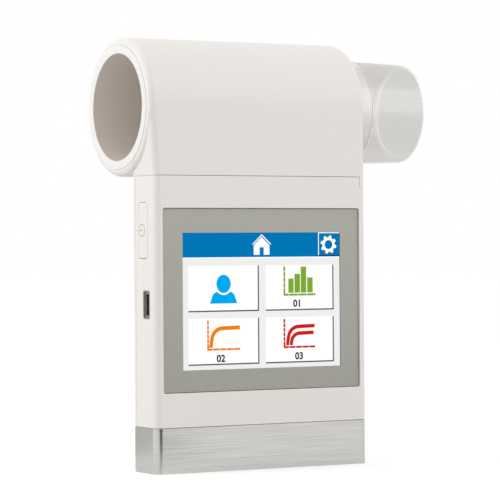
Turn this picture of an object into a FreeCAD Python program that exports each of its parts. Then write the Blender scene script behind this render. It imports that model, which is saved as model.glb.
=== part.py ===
import FreeCAD, Part
import math
import os

# Handheld spirometer: an upright body with a touch screen, and a round flow head across its top.
# The frame stands on the centre of the flat base: +Z up, -Y out of the screen, +X towards the mouthpiece.
# All sizes are in millimetres. Depths are counted from the plane of the body's front face.

# Outer form
stem_depth = 16.2
band_height = 14.4
head_overhang = 1.5
corner_radius = 2.4
head_end_round = 2.1
foot_round = 3.6

# Walls and gaps of the mouldings
shell_wall = 1.8
head_wall = 1.6
head_end_wall = 2.4
parting_gap = 0.15
part_clearance = 0.05
rear_split_depth = 13.0
head_split_low_depth = 14.6
head_split_high_depth = 9.2
head_split_rise = 7.4
crown_split_offset = 6.0
tongue_thickness = 0.8
tongue_height = 1.6
skirt_drop = 3.4

# Touch screen and display, from the front face backwards
screen_width = 57.6
screen_height = 43.2
screen_border = 0.6
panel_side_border = 7.15
panel_low_border = 6.8
panel_high_border = 7.6
panel_rise = 10.9
side_margin = 2.95
seam_rise = 10.4
panel_corner = 0.5
panel_recess = 0.7
panel_thickness = 1.5
panel_clearance = 0.2
tape_thickness = 0.2
tape_width = 0.8
ledge_thickness = 1.2
frame_margin = 2.0
gasket_thickness = 0.25
gasket_width = 2.0
lcd_side_border = 5.8
lcd_end_border = 3.4
lcd_thickness = 2.3
lcd_clearance = 0.3
lcd_sheet = 0.3
cell_side_border = 1.7
cell_end_border = 1.65
cell_thickness = 0.9

# Circuit board and what it carries
board_depth = 7.3
board_thickness = 1.2
board_margin = 0.5
board_overlap = 1.8
board_notch_gap = 0.2
board_screw_inset = 5.1
board_boss_radius = 2.1
board_boss_gap = 0.3
small_screw_radius = 0.75
small_screw_head_radius = 1.6
small_screw_head = 1.1
small_screw_length = 4.5
chip_height = 1.2
processor_size = 10.0
memory_size = 7.0
small_chip_size = 5.0
chip_column = 16.0
chip_row = 15.0
pad_inset = 9.6
pad_height = 4.0
battery_width = 48.0
battery_thickness = 4.0
battery_inset = 1.5
battery_gap = 3.5
battery_pad_thickness = 0.3
battery_corner = 1.5
sensor_width = 12.0
sensor_height = 9.0
sensor_thickness = 4.6
sensor_drop = 28.8
barb_radius = 1.25
barb_offset = 4.0
barb_length = 4.0
hose_wall = 0.8
hose_bend_radius = 5.0
hose_bend_angle = 70.0
hose_depth = 10.9
hose_grip = 3.8
buzzer_x = 25.0
buzzer_rise = 1.5
buzzer_radius = 4.5
buzzer_thickness = 3.0
connector_offset = 6.0
connector_rise = 5.5
connector_width = 6.0
connector_size = 4.4
connector_thickness = 3.4
lead_radius = 0.6
lead_spacing = 1.8
lead_bend_radius = 2.4

# Display ribbon
flex_width = 18.0
flex_thickness = 0.2
flex_reach = 0.7
flex_connector_length = 4.0
flex_connector_margin = 1.5
flex_connector_thickness = 1.0

# USB socket in the left side
usb_drop = 1.3
usb_centre_depth = 6.0
usb_cut_height = 9.0
usb_cut_depth = 4.7
usb_cut_corner = 0.8
usb_shell_width = 7.5
usb_shell_thickness = 2.45
usb_shell_wall = 0.3
usb_shell_length = 5.4
usb_setback = 0.5
usb_tongue_thickness = 0.6
usb_tongue_width = 5.0
surround_wall = 0.5
surround_recess = 0.7
surround_flange = 0.4
surround_flange_margin = 0.6

# Power button in the left side, and the switch behind it
button_drop = 6.8
button_centre_depth = 8.0
button_cut_length = 17.8
button_cut_width = 6.6
button_corner = 1.6
button_gap = 0.12
button_proud = 0.1
button_edge_round = 0.3
button_flange = 0.9
button_flange_margin = 0.8
button_travel = 0.5
switch_length = 3.5
switch_height = 6.0
switch_thickness = 2.5
switch_wall = 0.5
plunger_width = 2.8
plunger_thickness = 1.5
plunger_reach = 0.75
plunger_guide = 1.2

# Screws
screw_radius = 0.95
screw_head_radius = 1.9
screw_head = 1.3
screw_recess = 1.3
screw_tip_depth = 6.5
screw_hole_clearance = 0.2
screw_pilot_clearance = 0.1
screw_inset = 4.9
low_screw_rise = 5.5
high_screw_drop = 4.7
boss_radius = 2.9
insert_radius = 1.7
insert_length = 4.0
rear_boss_depth = 12.0
head_tab_thickness = 1.3
head_tab_gap = 0.1
band_screw_x = 20.0
band_screw_depth = 7.0
band_screw_length = 8.0

# Aluminium base band
band_wall = 2.4
band_floor = 4.0
band_edge = 0.25
band_boss_radius = 3.2

# Flow head, built outwards from the bore that takes a standard 30 mm mouthpiece
mouthpiece_bore = 15.1
throat_step = 0.5
shoulder_step = 1.2
pocket_step = 1.0
outlet_step = 0.3
barrel_wall = 2.22
flange_step = 0.48
flange_proud = 0.15
sleeve_wall = 1.1
barrel_clearance = 0.08
seal_section = 1.15
seal_groove_depth = 1.1
seal_groove_width = 1.5
tap_offset = 18.0
tap_groove_width = 3.0
tap_groove_depth = 0.5
tap_hole_radius = 0.6
tap_hole_count = 6
seal_spacing = 5.5
funnel_start = 21.0
funnel_end = 29.0
barrel_end_setback = 4.4
spigot_wall = 1.4
spigot_reach = 6.3
nipple_bore = 0.8
nipple_clear = 0.4

# Laminar element in the middle of the flow tube
element_length = 30.0
element_fit = 0.05
element_rim = 0.7
channel_pitch = 2.45
channel_wall = 0.35
retainer_length = 1.6
retainer_lip = 0.2

# Mouthpiece adapter on the right
adapter_reach = 27.2
adapter_wall = 1.25
adapter_mouth_wall = 1.45
adapter_fit = 0.05
adapter_hole_clearance = 0.15
adapter_step_gap = 0.2
adapter_lip_round = 0.5

# Places worked out from the sizes above
panel_width = screen_width + 2 * panel_side_border
panel_height = screen_height + panel_low_border + panel_high_border
panel_bottom = band_height + panel_rise
panel_top = panel_bottom + panel_height
panel_centre_height = (panel_bottom + panel_top) / 2
screen_centre_height = panel_bottom + panel_low_border + screen_height / 2
body_width = panel_width + 2 * side_margin
seam_height = panel_top + seam_rise
throat_radius = mouthpiece_bore - throat_step
shoulder_radius = throat_radius + shoulder_step
pocket_radius = shoulder_radius + pocket_step
bore_radius = pocket_radius + outlet_step
barrel_radius = bore_radius + barrel_wall
flange_radius = barrel_radius + flange_step
sleeve_bore = barrel_radius + barrel_clearance
sleeve_radius = sleeve_bore + sleeve_wall
cavity_radius = sleeve_radius + part_clearance
head_radius = cavity_radius + head_wall
spigot_radius = throat_radius + spigot_wall
adapter_base_radius = spigot_radius + adapter_fit + adapter_wall
adapter_mouth_radius = mouthpiece_bore + adapter_mouth_wall
side = body_width / 2
front = -stem_depth / 2
back = stem_depth / 2
axis_y = front + head_radius
axis_z = seam_height + head_radius
head_left = -side - head_overhang
inner_side = side - shell_wall
inner_left = head_left + head_end_wall
flange_face = head_left - flange_proud
spigot_end = side + spigot_reach
barrel_end = side - barrel_end_setback
adapter_base = barrel_end + adapter_step_gap
adapter_mouth = side + adapter_reach
rear_wall = stem_depth - shell_wall
panel_back = panel_recess + panel_thickness
ledge_face = panel_back + tape_thickness
ledge_back = ledge_face + ledge_thickness
lcd_front = panel_back + gasket_thickness
lcd_back = lcd_front + lcd_thickness
lcd_width = screen_width + 2 * lcd_side_border
lcd_height = screen_height + 2 * lcd_end_border
cell_width = screen_width + 2 * cell_side_border
cell_height = screen_height + 2 * cell_end_border
board_back = board_depth + board_thickness
board_side = inner_side - board_margin
board_bottom = panel_bottom - board_overlap
board_top = panel_top + board_overlap
board_screw_x = inner_side - board_screw_inset
board_screw_reach = lcd_height / 2 + lcd_clearance + board_boss_gap + board_boss_radius
usb_height = panel_centre_height - usb_drop
button_height = panel_top - button_drop
board_notch_height = button_height - button_cut_length / 2 - button_flange_margin - board_notch_gap
sensor_bottom = seam_height - sensor_drop
battery_bottom = board_bottom + battery_inset
battery_height = sensor_bottom - battery_gap - battery_bottom
screw_x = inner_side - screw_inset
low_screw_height = band_height + low_screw_rise
high_screw_height = seam_height - high_screw_drop
screw_seat = stem_depth - screw_recess - screw_head
flange_back = -inner_side + part_clearance + button_flange
switch_face = flange_back + plunger_reach
switch_middle = board_back + switch_thickness / 2

X_AXIS = FreeCAD.Vector(1, 0, 0)
Y_AXIS = FreeCAD.Vector(0, 1, 0)
Z_AXIS = FreeCAD.Vector(0, 0, 1)


def vec(x, y, z):
    return FreeCAD.Vector(x, y, z)


def deep(depth):
    """The y of a place this far behind the front face."""
    return front + depth


def block(x, y, z):
    """A box between the two ends given for each axis."""
    corner = vec(min(x), min(y), min(z))
    return Part.makeBox(abs(x[1] - x[0]), abs(y[1] - y[0]), abs(z[1] - z[0]), corner)


def edges_along(shape, axis):
    """The straight edges of a shape that run along one axis."""
    found = []
    for edge in shape.Edges:
        run = edge.valueAt(edge.LastParameter) - edge.valueAt(edge.FirstParameter)
        if run.Length > 0.001 and run.cross(axis).Length < 0.001 * run.Length:
            found.append(edge)
    return found


def rounded_block(x, y, z, axis, radius):
    """A box with the edges along one axis rounded."""
    box = block(x, y, z)
    return box.makeFillet(radius, edges_along(box, axis))


def centred(middle, size):
    """The two ends of a length about its middle."""
    return (middle - size / 2, middle + size / 2)


def depths(near, far):
    return (deep(near), deep(far))


def rod_x(radius, start, end, y, z):
    return Part.makeCylinder(radius, end - start, vec(start, y, z), X_AXIS)


def rod_y(radius, near, far, x, z):
    return Part.makeCylinder(radius, far - near, vec(x, deep(near), z), Y_AXIS)


def rod_z(radius, low, high, x, y):
    return Part.makeCylinder(radius, high - low, vec(x, y, low), Z_AXIS)


def drum(radius, start, end):
    """A cylinder on the flow axis."""
    return rod_x(radius, start, end, axis_y, axis_z)


def prism(points, vector):
    """A solid from a closed outline carried along a vector."""
    return Part.Face(Part.makePolygon(points + [points[0]])).extrude(vector)


def turned(outline):
    """A ring turned about the flow axis from points of place along it and radius."""
    points = [vec(x, axis_y, axis_z + radius) for x, radius in outline]
    face = Part.Face(Part.makePolygon(points + [points[0]]))
    return face.revolve(vec(0, axis_y, axis_z), X_AXIS, 360)


def fused(shapes):
    whole = shapes[0]
    if len(shapes) > 1:
        whole = whole.fuse(shapes[1:])
    return whole.removeSplitter()


def both_sides(x):
    return (-x, x)


def group(shapes):
    """Several separate solids kept together as one node."""
    return Part.makeCompound(shapes)


# The outer form, before it is parted into mouldings


def stem_form(low, high):
    return rounded_block(both_sides(side), (front, back), (low, high), Z_AXIS, corner_radius)


def drum_form():
    """The round head with softened ends."""
    form = drum(head_radius, head_left, side)
    rims = [edge for edge in form.Edges if edge.Closed and len(edge.Vertexes) == 1]
    rims = [edge for edge in rims if abs(edge.BoundBox.XLength) < 0.001]
    return form.makeFillet(head_end_round, rims)


def neck_form():
    """The block below the head's axis, flaring from the stem's side to the head's left end."""
    outline = [
        vec(-side, front, seam_height),
        vec(side, front, seam_height),
        vec(side, front, axis_z),
        vec(head_left, front, axis_z),
    ]
    form = prism(outline, vec(0, stem_depth, 0))
    upright = [edge for edge in form.Edges if edge.BoundBox.ZLength > 0.001]
    return form.makeFillet(corner_radius, upright)


def rear_tool():
    """What lies behind the parting line of the rear cover."""
    start = head_left - head_radius
    far = back + 3 * head_radius
    top = axis_z + 2 * head_radius
    crown = axis_y + crown_split_offset
    outline = [
        vec(start, deep(rear_split_depth), -head_radius),
        vec(start, deep(rear_split_depth), seam_height),
        vec(start, deep(head_split_low_depth), seam_height),
        vec(start, deep(head_split_high_depth), seam_height + head_split_rise),
        vec(start, crown, axis_z),
        vec(start, crown, top),
        vec(start, far, top),
        vec(start, far, -head_radius),
    ]
    return prism(outline, vec(body_width + 4 * head_radius, 0, 0))


def hollow():
    """The space inside the mouldings."""
    stem = block(
        both_sides(inner_side),
        depths(shell_wall, rear_wall),
        (band_height + shell_wall, axis_z),
    )
    tunnel = drum(cavity_radius, inner_left, inner_side)
    left_mouth = drum(flange_radius + part_clearance, head_left - 1, inner_left + 1)
    right_mouth = drum(adapter_base_radius + adapter_hole_clearance, inner_side - 1, side + 1)
    return stem.fuse([tunnel, left_mouth, right_mouth])


# Mouldings


def skirt_form(gap):
    """The head shell's reach down the right front corner, grown by a gap where the front cover makes room."""
    low = seam_height - skirt_drop - gap
    reach = block((side - corner_radius - gap, side), depths(0, rear_split_depth), (low, seam_height + 1))
    return reach.common(stem_form(low, seam_height + 1)).cut(hollow())


def head_shell():
    """Front and crown of the flow head, with a tongue into the front cover, a skirt and two screw tabs."""
    outer = fused([drum_form(), neck_form()])
    shell = outer.cut(hollow()).cut(rear_tool())
    shell = shell.cut(stem_form(seam_height - 1, seam_height + parting_gap / 2))
    lip = depths(shell_wall + part_clearance, shell_wall + tongue_thickness)
    run = both_sides(inner_side - corner_radius)
    tongue = block(run, lip, (seam_height - tongue_height, seam_height + tongue_height))
    root = block(run, depths(shell_wall, shell_wall + tongue_thickness),
                 (seam_height + parting_gap / 2, seam_height + tongue_height))
    tabs = []
    for x in both_sides(screw_x):
        near = rear_boss_depth - head_tab_gap - head_tab_thickness
        width = centred(x, 2 * boss_radius)
        plate = block(width, depths(near, near + head_tab_thickness),
                      (high_screw_height - boss_radius, seam_height + tongue_height))
        wall = (x, math.copysign(inner_side + shell_wall / 2, x))
        web = block(wall, depths(near, near + head_tab_thickness),
                    (seam_height + parting_gap, seam_height + tongue_height))
        hole_radius = screw_radius + screw_hole_clearance
        hole = rod_y(hole_radius, near - 1, near + head_tab_thickness + 1, x, high_screw_height)
        tabs.append(plate.fuse(web).cut(hole))
    return fused([shell, tongue, root, skirt_form(0)] + tabs)


def window_opening():
    """The stepped window of the front cover: a recess for the panel and a way through for the display."""
    recess = rounded_block(
        centred(0, panel_width + 2 * panel_clearance),
        depths(-1, ledge_face),
        centred(panel_centre_height, panel_height + 2 * panel_clearance),
        Y_AXIS,
        panel_corner + panel_clearance,
    )
    through = block(
        centred(0, lcd_width + 2 * lcd_clearance),
        depths(0, ledge_back + 1),
        centred(screen_centre_height, lcd_height + 2 * lcd_clearance),
    )
    return recess.fuse(through)


def usb_opening(start, end, grow):
    """The outline of the opening for the socket, larger or smaller by a margin."""
    width = usb_cut_depth + 2 * grow
    return rounded_block(
        (start, end),
        depths(usb_centre_depth - width / 2, usb_centre_depth + width / 2),
        centred(usb_height, usb_cut_height + 2 * grow),
        X_AXIS,
        usb_cut_corner + grow,
    )


def button_form(start, end, grow):
    """The button's rounded outline through or behind the side wall, larger or smaller by a margin."""
    width = button_cut_width + 2 * grow
    return rounded_block(
        (start, end),
        depths(button_centre_depth - width / 2, button_centre_depth + width / 2),
        centred(button_height, button_cut_length + 2 * grow),
        X_AXIS,
        button_corner + grow,
    )


def screw_places():
    """Middle of each cover screw and the depth of the face that it pulls against."""
    places = []
    for x in both_sides(screw_x):
        places.append((x, low_screw_height, rear_boss_depth - head_tab_gap))
        places.append((x, high_screw_height, rear_boss_depth - 2 * head_tab_gap - head_tab_thickness))
    return places


def board_screw_places():
    heights = centred(screen_centre_height, 2 * board_screw_reach)
    return [(x, z) for x in both_sides(board_screw_x) for z in heights]


def front_cover():
    """Tray with the window, the floor over the band, and bosses for the cover and the board."""
    tray = stem_form(band_height, seam_height - parting_gap / 2).cut(hollow()).cut(rear_tool())
    frame = block(
        both_sides(inner_side),
        depths(shell_wall, ledge_back),
        centred(panel_centre_height, panel_height + 2 * frame_margin),
    )
    additions = [tray, frame]
    through = (-side - 1, -inner_side + 1)
    holes = [window_opening(), usb_opening(*through, 0), button_form(*through, 0), skirt_form(parting_gap)]
    for x, z, top in screw_places():
        additions.append(rod_y(boss_radius, shell_wall, top, x, z))
        holes.append(rod_y(insert_radius, top - insert_length, top + 1, x, z))
        holes.append(rod_y(screw_radius + screw_pilot_clearance, screw_tip_depth - 0.5, top, x, z))
    for x, z in board_screw_places():
        additions.append(rod_y(board_boss_radius, ledge_face, board_depth, x, z))
        holes.append(rod_y(small_screw_radius + part_clearance, ledge_back, board_depth + 1, x, z))
    for x in both_sides(band_screw_x):
        holes.append(rod_z(screw_radius + screw_hole_clearance, band_height - 1, band_height + shell_wall + 1,
                           x, deep(band_screw_depth)))
    return fused(additions).cut(holes[0].fuse(holes[1:]))


def rear_cover():
    """Back of the stem and of the head in one moulding, with screw bosses and side tongues."""
    outer = fused([drum_form(), stem_form(band_height, seam_height + corner_radius)])
    tool = rear_tool().translated(vec(0, parting_gap, 0))
    shell = outer.cut(hollow()).common(tool)
    additions = [shell]
    holes = []
    for x in both_sides(inner_side - part_clearance):
        reach = (x, x - math.copysign(tongue_thickness, x))
        additions.append(block(reach, depths(rear_split_depth - tongue_thickness, rear_wall + 0.5),
                               (low_screw_height - boss_radius, high_screw_height + boss_radius)))
    for x, z, top in screw_places():
        additions.append(rod_y(boss_radius, rear_boss_depth, rear_wall + 0.5, x, z))
        holes.append(rod_y(screw_head_radius + screw_hole_clearance, screw_seat, stem_depth + 1, x, z))
        holes.append(rod_y(screw_radius + screw_hole_clearance, rear_boss_depth - 1, stem_depth, x, z))
    return fused(additions).cut(holes[0].fuse(holes[1:]))


def base_band():
    """Aluminium cap round the foot, with a round under its back, a bright edge and two screw bosses."""
    low = vec(-side, front, 0)
    high = vec(-side, front, band_height)
    high_back = vec(-side, back, band_height)
    arc_start = vec(-side, back, foot_round)
    arc_end = vec(-side, back - foot_round, 0)
    slant = foot_round * (1 - math.sqrt(0.5))
    arc_middle = vec(-side, back - slant, slant)
    edges = [
        Part.LineSegment(low, high).toShape(),
        Part.LineSegment(high, high_back).toShape(),
        Part.LineSegment(high_back, arc_start).toShape(),
        Part.Arc(arc_start, arc_middle, arc_end).toShape(),
        Part.LineSegment(arc_end, low).toShape(),
    ]
    form = Part.Face(Part.Wire(edges)).extrude(vec(body_width, 0, 0)).common(stem_form(0, band_height))
    upper = [edge for edge in form.Edges if edge.BoundBox.ZMin > band_height - 0.001]
    form = form.makeChamfer(band_edge, upper)
    pocket = rounded_block(
        both_sides(side - band_wall),
        (front + band_wall, back - band_wall),
        (band_floor, band_height + 1),
        Z_AXIS,
        corner_radius / 2,
    )
    form = form.cut(pocket)
    bosses = []
    holes = []
    for x in both_sides(band_screw_x):
        y = deep(band_screw_depth)
        bosses.append(rod_z(band_boss_radius, band_floor / 2, band_height, x, y))
        holes.append(rod_z(screw_radius + part_clearance, band_height - band_screw_length, band_height + 1, x, y))
    return fused([form] + bosses).cut(holes[0].fuse(holes[1:]))


# Touch screen and display


def frame_plate(outer, inner, middle, near, far, radius):
    """A flat picture frame: outer and inner width and height about their middles, between two depths."""
    plate = rounded_block(centred(0, outer[0]), depths(near, far), centred(middle[0], outer[1]), Y_AXIS, radius)
    opening = block(centred(0, inner[0]), depths(near - 1, far + 1), centred(middle[1], inner[1]))
    return plate.cut(opening)


def touch_panel():
    return rounded_block(
        centred(0, panel_width),
        depths(panel_recess, panel_back),
        centred(panel_centre_height, panel_height),
        Y_AXIS,
        panel_corner,
    )


def panel_tape():
    """Adhesive frame that holds the panel on its ledge."""
    inner = (lcd_width + 2 * lcd_clearance, panel_height - 2 * tape_width)
    outer = (panel_width, panel_height)
    tape = frame_plate(outer, inner, (panel_centre_height, panel_centre_height), panel_back, ledge_face, panel_corner)
    return tape


def screen_gasket():
    """Foam frame between the panel and the display."""
    inner = (screen_width + 2 * screen_border, screen_height + 2 * screen_border)
    outer = (inner[0] + 2 * gasket_width, inner[1] + 2 * gasket_width)
    middle = (screen_centre_height, screen_centre_height)
    return frame_plate(outer, inner, middle, panel_back, lcd_front, gasket_width / 4)


def lcd_frame():
    """Metal tray of the display, closed behind, with a window over the picture."""
    tray = block(centred(0, lcd_width), depths(lcd_front, lcd_back), centred(screen_centre_height, lcd_height))
    pocket = block(
        centred(0, cell_width + 2 * part_clearance),
        depths(lcd_front + lcd_sheet, lcd_back - lcd_sheet),
        centred(screen_centre_height, cell_height + 2 * part_clearance),
    )
    window = block(
        centred(0, screen_width + screen_border),
        depths(lcd_front - 1, lcd_front + 1),
        centred(screen_centre_height, screen_height + screen_border),
    )
    return tray.cut(pocket).cut(window)


def lcd_glass():
    near = lcd_front + lcd_sheet
    return block(
        centred(0, cell_width),
        depths(near, near + cell_thickness),
        centred(screen_centre_height, cell_height),
    )


def backlight():
    near = lcd_front + lcd_sheet + cell_thickness
    return block(
        centred(0, cell_width),
        depths(near, lcd_back - lcd_sheet),
        centred(screen_centre_height, cell_height),
    )


def lcd_pads():
    """Foam strips that hold the display off the board."""
    strips = []
    for z in (screen_centre_height - screen_height / 2, screen_centre_height + screen_height / 2):
        strips.append(block(centred(0, lcd_width - 2 * pad_inset), depths(lcd_back, board_depth),
                            centred(z, pad_height)))
    return group(strips)


def display_flex():
    """Ribbon from the display's right end, folded back to its connector on the board."""
    height = centred(screen_centre_height, flex_width)
    start = lcd_width / 2
    turn = start + flex_reach
    near = lcd_back - lcd_sheet - flex_thickness
    far = board_depth - flex_connector_thickness / 2 + flex_thickness / 2
    radius = (far - near) / 2
    middle = deep((near + far) / 2)
    bend = rod_z(radius, height[0], height[1], turn, middle)
    bend = bend.cut(rod_z(radius - flex_thickness, height[0], height[1], turn, middle))
    bend = bend.common(block((turn, turn + radius), (middle - radius, middle + radius), height))
    outward = block((start, turn), depths(near, near + flex_thickness), height)
    inward = block((board_side - flex_connector_length, turn), depths(far - flex_thickness, far), height)
    return fused([outward, bend, inward])


def flex_connector():
    end = board_side - flex_connector_length
    length = (end - flex_connector_length, end)
    height = centred(screen_centre_height, flex_width + 2 * flex_connector_margin)
    return block(length, depths(board_depth - flex_connector_thickness, board_depth), height)


# Circuit board and power


def main_board():
    """Board with its four screw holes and a corner left free behind the button."""
    plate = block(both_sides(board_side), depths(board_depth, board_back), (board_bottom, board_top))
    notch = block((-side, switch_face), depths(board_depth - 1, board_back + 1),
                  (board_notch_height, board_top + 1))
    holes = [notch]
    for x, z in board_screw_places():
        holes.append(rod_y(small_screw_radius + screw_hole_clearance, board_depth - 1, board_back + 1, x, z))
    return plate.cut(holes[0].fuse(holes[1:]))


def board_screws():
    screws = []
    for x, z in board_screw_places():
        head = rod_y(small_screw_head_radius, board_back, board_back + small_screw_head, x, z)
        shank = rod_y(small_screw_radius, board_back - small_screw_length, board_back, x, z)
        screws.append(fused([head, shank]))
    return group(screws)


def board_chips():
    """Processor, memory and power chips on the back of the board, under and beside the battery."""
    low = board_bottom + chip_row
    middle = low + chip_row
    high = middle + chip_row
    layout = [
        (-chip_column, low, processor_size),
        (0, low, memory_size),
        (chip_column, low, small_chip_size),
        (-chip_column, middle, small_chip_size),
        (-chip_column, high, small_chip_size),
        (chip_column, high, small_chip_size),
    ]
    chips = []
    for x, z, size in layout:
        chips.append(block(centred(x, size), depths(board_back, board_back + chip_height), centred(z, size)))
    return group(chips)


def pressure_sensor():
    """Differential pressure sensor with two barbs for its hoses."""
    body = block(centred(0, sensor_width), depths(board_back, board_back + sensor_thickness),
                 (sensor_bottom, sensor_bottom + sensor_height))
    top = sensor_bottom + sensor_height
    barbs = []
    for x in both_sides(barb_offset):
        barb = rod_z(barb_radius, top - 1, top + barb_length, x, deep(hose_depth))
        barbs.append(barb.cut(rod_z(barb_radius / 2, top, top + barb_length + 1, x, deep(hose_depth))))
    return fused([body] + barbs)


def hose_rise():
    """Run and rise of a hose's slanted stretch between its two bends."""
    angle = math.radians(hose_bend_angle)
    sideways = tap_offset - barb_offset - 2 * hose_bend_radius * (1 - math.cos(angle))
    slant = sideways / math.sin(angle)
    rise = 2 * hose_bend_radius * math.sin(angle) + slant * math.cos(angle)
    return slant, rise


def hose_path(direction):
    """Centre line of one hose from its barb up to its nipple, on the left or the right."""
    angle = math.radians(hose_bend_angle)
    slant, rise = hose_rise()
    y = deep(hose_depth)
    low = sensor_bottom + sensor_height
    first = low + barb_length
    last = first + rise
    radius = hose_bend_radius

    def lower(turn):
        return vec(direction * (barb_offset + radius * (1 - math.cos(turn))), y, first + radius * math.sin(turn))

    def upper(turn):
        return vec(direction * (tap_offset - radius * (1 - math.cos(turn))), y, last - radius * math.sin(turn))

    start = vec(direction * barb_offset, y, low + part_clearance)
    end = vec(direction * tap_offset, y, last + hose_grip)
    edges = [
        Part.LineSegment(start, lower(0)).toShape(),
        Part.Arc(lower(0), lower(angle / 2), lower(angle)).toShape(),
        Part.LineSegment(lower(angle), upper(angle)).toShape(),
        Part.Arc(upper(angle), upper(angle / 2), upper(0)).toShape(),
        Part.LineSegment(upper(0), end).toShape(),
    ]
    return Part.Wire(edges), start


def swept(path, start, radius):
    circle = Part.Wire(Part.makeCircle(radius, start, Z_AXIS))
    return path.makePipeShell([circle], True, False)


def sensor_hoses():
    """Two silicone hoses between the nipples of the sleeve and the sensor."""
    hoses = []
    bore = barb_radius + part_clearance
    for direction in (-1, 1):
        path, start = hose_path(direction)
        hoses.append(swept(path, start, bore + hose_wall).cut(swept(path, start, bore)))
    return group(hoses)


def nipple_end():
    """Height of the lower end of the sleeve's nipples, just above the hose bends."""
    return sensor_bottom + sensor_height + barb_length + hose_rise()[1] + nipple_clear


def buzzer():
    height = sensor_bottom + sensor_height + buzzer_rise
    can = rod_y(buzzer_radius, board_back, board_back + buzzer_thickness, buzzer_x, height)
    hole = rod_y(buzzer_radius / 5, board_back + 1, board_back + buzzer_thickness + 1, buzzer_x, height)
    return can.cut(hole)


def battery():
    near = rear_wall - battery_pad_thickness - battery_thickness
    return rounded_block(
        centred(0, battery_width),
        depths(near, near + battery_thickness),
        (battery_bottom, battery_bottom + battery_height),
        Z_AXIS,
        battery_corner,
    )


def battery_pad():
    """Double-sided pad that holds the battery to the rear cover."""
    return block(
        centred(0, battery_width * 0.8),
        depths(rear_wall - battery_pad_thickness, rear_wall),
        centred(battery_bottom + battery_height / 2, battery_height * 0.8),
    )


def connector_place():
    """Middle of the connector, beside and above the battery."""
    return battery_width / 2 + connector_offset, battery_bottom + battery_height + connector_rise


def battery_connector():
    x, z = connector_place()
    return block(
        centred(x, connector_width),
        depths(board_back, board_back + connector_thickness),
        centred(z, connector_size),
    )


def battery_leads():
    """Two short wires from the top of the battery into the side of the connector."""
    leads = []
    connector_x, connector_height = connector_place()
    y = deep(board_back + connector_thickness / 2)
    end = connector_x - connector_width / 2
    radius = lead_bend_radius
    for step in (-0.5, 0.5):
        z = connector_height - step * lead_spacing
        x = battery_width / 2 - 2 * lead_spacing + step * lead_spacing
        slant = radius * (1 - math.sqrt(0.5))
        low = vec(x, y, battery_bottom + battery_height)
        bend_low = vec(x, y, z - radius)
        bend_middle = vec(x + slant, y, z - slant)
        bend_high = vec(x + radius, y, z)
        edges = [
            Part.LineSegment(low, bend_low).toShape(),
            Part.Arc(bend_low, bend_middle, bend_high).toShape(),
            Part.LineSegment(bend_high, vec(end, y, z)).toShape(),
        ]
        leads.append(swept(Part.Wire(edges), low, lead_radius))
    return group(leads)


# USB socket, button and switch


def usb_shell():
    """Drawn steel shell on the front of the board, open towards the side wall."""
    face = -side + usb_setback
    near = board_depth - usb_shell_thickness
    shell = rounded_block(
        (face, face + usb_shell_length),
        depths(near, board_depth),
        centred(usb_height, usb_shell_width),
        X_AXIS,
        usb_shell_thickness / 3,
    )
    inside = rounded_block(
        (face - 1, face + usb_shell_length - usb_shell_wall),
        depths(near + usb_shell_wall, board_depth - usb_shell_wall),
        centred(usb_height, usb_shell_width - 2 * usb_shell_wall),
        X_AXIS,
        usb_shell_thickness / 3 - usb_shell_wall,
    )
    return shell.cut(inside)


def usb_tongue():
    """Contact tongue of the socket, moulded on a block at its back."""
    face = -side + usb_setback
    end = face + usb_shell_length - usb_shell_wall
    middle = board_depth - usb_shell_thickness / 2
    inside = usb_shell_thickness - 2 * usb_shell_wall - 2 * part_clearance
    width = usb_shell_width - 2 * usb_shell_wall - 2 * part_clearance
    root = rounded_block(
        (end - 1, end),
        depths(middle - inside / 2, middle + inside / 2),
        centred(usb_height, width),
        X_AXIS,
        usb_shell_thickness / 3 - usb_shell_wall,
    )
    tongue = block(
        (face + 1, end),
        depths(middle - usb_tongue_thickness / 2, middle + usb_tongue_thickness / 2),
        centred(usb_height, usb_tongue_width),
    )
    return fused([root, tongue])


def usb_surround():
    """Dark frame pressed into the opening from inside, with a shallow recess round the socket's mouth."""
    back_face = -inner_side + part_clearance
    frame = usb_opening(-side + part_clearance, back_face, -part_clearance)
    half_depth = usb_cut_depth / 2 - part_clearance
    flange = block(
        (back_face, back_face + surround_flange),
        depths(usb_centre_depth - half_depth, usb_centre_depth + half_depth),
        centred(usb_height, usb_cut_height + 2 * surround_flange_margin),
    )
    recess = usb_opening(-side - 1, -side + surround_recess, -surround_wall)
    mouth = rounded_block(
        (-side - 1, -inner_side + 2),
        depths(board_depth - usb_shell_thickness - part_clearance, board_depth + part_clearance),
        centred(usb_height, usb_shell_width + 2 * part_clearance),
        X_AXIS,
        usb_shell_thickness / 3,
    )
    return fused([frame, flange]).cut(recess.fuse(mouth))


def power_button():
    """Button cap through the side wall, with a flange that keeps it in."""
    cap = button_form(-side - button_proud, -inner_side + part_clearance, -button_gap)
    rim = [edge for edge in cap.Edges if edge.BoundBox.XMax < -side]
    cap = cap.makeFillet(button_edge_round, rim)
    flange = button_form(-inner_side + part_clearance, flange_back, button_flange_margin)
    return fused([cap, flange])


def switch_body():
    """Side-push switch on the back of the board, with a guide for its plunger."""
    body = block(
        (switch_face, switch_face + switch_length),
        depths(board_back, board_back + switch_thickness),
        centred(button_height, switch_height),
    )
    guide = block(
        (switch_face - 1, switch_face + plunger_guide + button_travel),
        depths(switch_middle - plunger_thickness / 2 - part_clearance,
               switch_middle + plunger_thickness / 2 + part_clearance),
        centred(button_height, plunger_width + 2 * part_clearance),
    )
    return body.cut(guide)


def switch_plunger():
    return block(
        (flange_back, switch_face + plunger_guide),
        depths(switch_middle - plunger_thickness / 2, switch_middle + plunger_thickness / 2),
        centred(button_height, plunger_width),
    )


# Fasteners


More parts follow.
